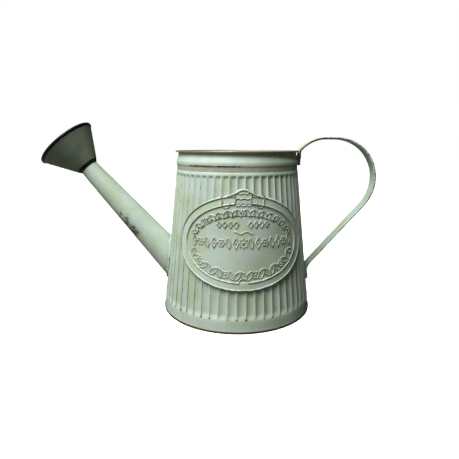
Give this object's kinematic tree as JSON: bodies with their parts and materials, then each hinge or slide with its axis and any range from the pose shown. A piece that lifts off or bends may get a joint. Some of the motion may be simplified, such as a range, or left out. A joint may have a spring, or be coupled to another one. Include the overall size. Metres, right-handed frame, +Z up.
{
  "type": "watering can",
  "caption": "Tapered fluted sheet-steel watering can with a turned lip, oval relief plate, straight conical spout, pull-off rose and hemmed strap handle.",
  "frame": {"origin": "on the can's axis at the face that it stands on", "axes": "+Z up along the can's axis, -X towards the spout, +X towards the handle, -Y towards the oval plate"},
  "size_m": [0.3258, 0.1508, 0.1836],
  "materials": {
    "can_paint": "satin sage green paint rubbed through to brown metal along the raised edges",
    "rose_paint": "satin dark grey-green paint"
  },
  "bodies": {
    "can": {"fluted_wall": "can_paint", "top_collar": "can_paint", "base_plate": "can_paint", "oval_plate": "can_paint", "spout_tube": "can_paint", "spout_solder": "can_paint", "handle_strap": "can_paint", "rim_rivets": "can_paint", "foot_rivets": "can_paint"},
    "sleeve": {"rose_sleeve": "rose_paint"},
    "rose": {"rose_cone": "rose_paint", "rose_face": "rose_paint"}
  },
  "joints": [
    {"name": "rose_pull", "type": "slide", "parent": "can", "child": "sleeve", "axis": [-0.6534, 0, 0.757], "range_m": [0, 0.03]},
    {"name": "rose_twist", "type": "hinge", "parent": "sleeve", "child": "rose", "pos_m": [-0.14884, 0, 0.14258], "axis": [-0.6534, 0, 0.757], "continuous": true}
  ]
}
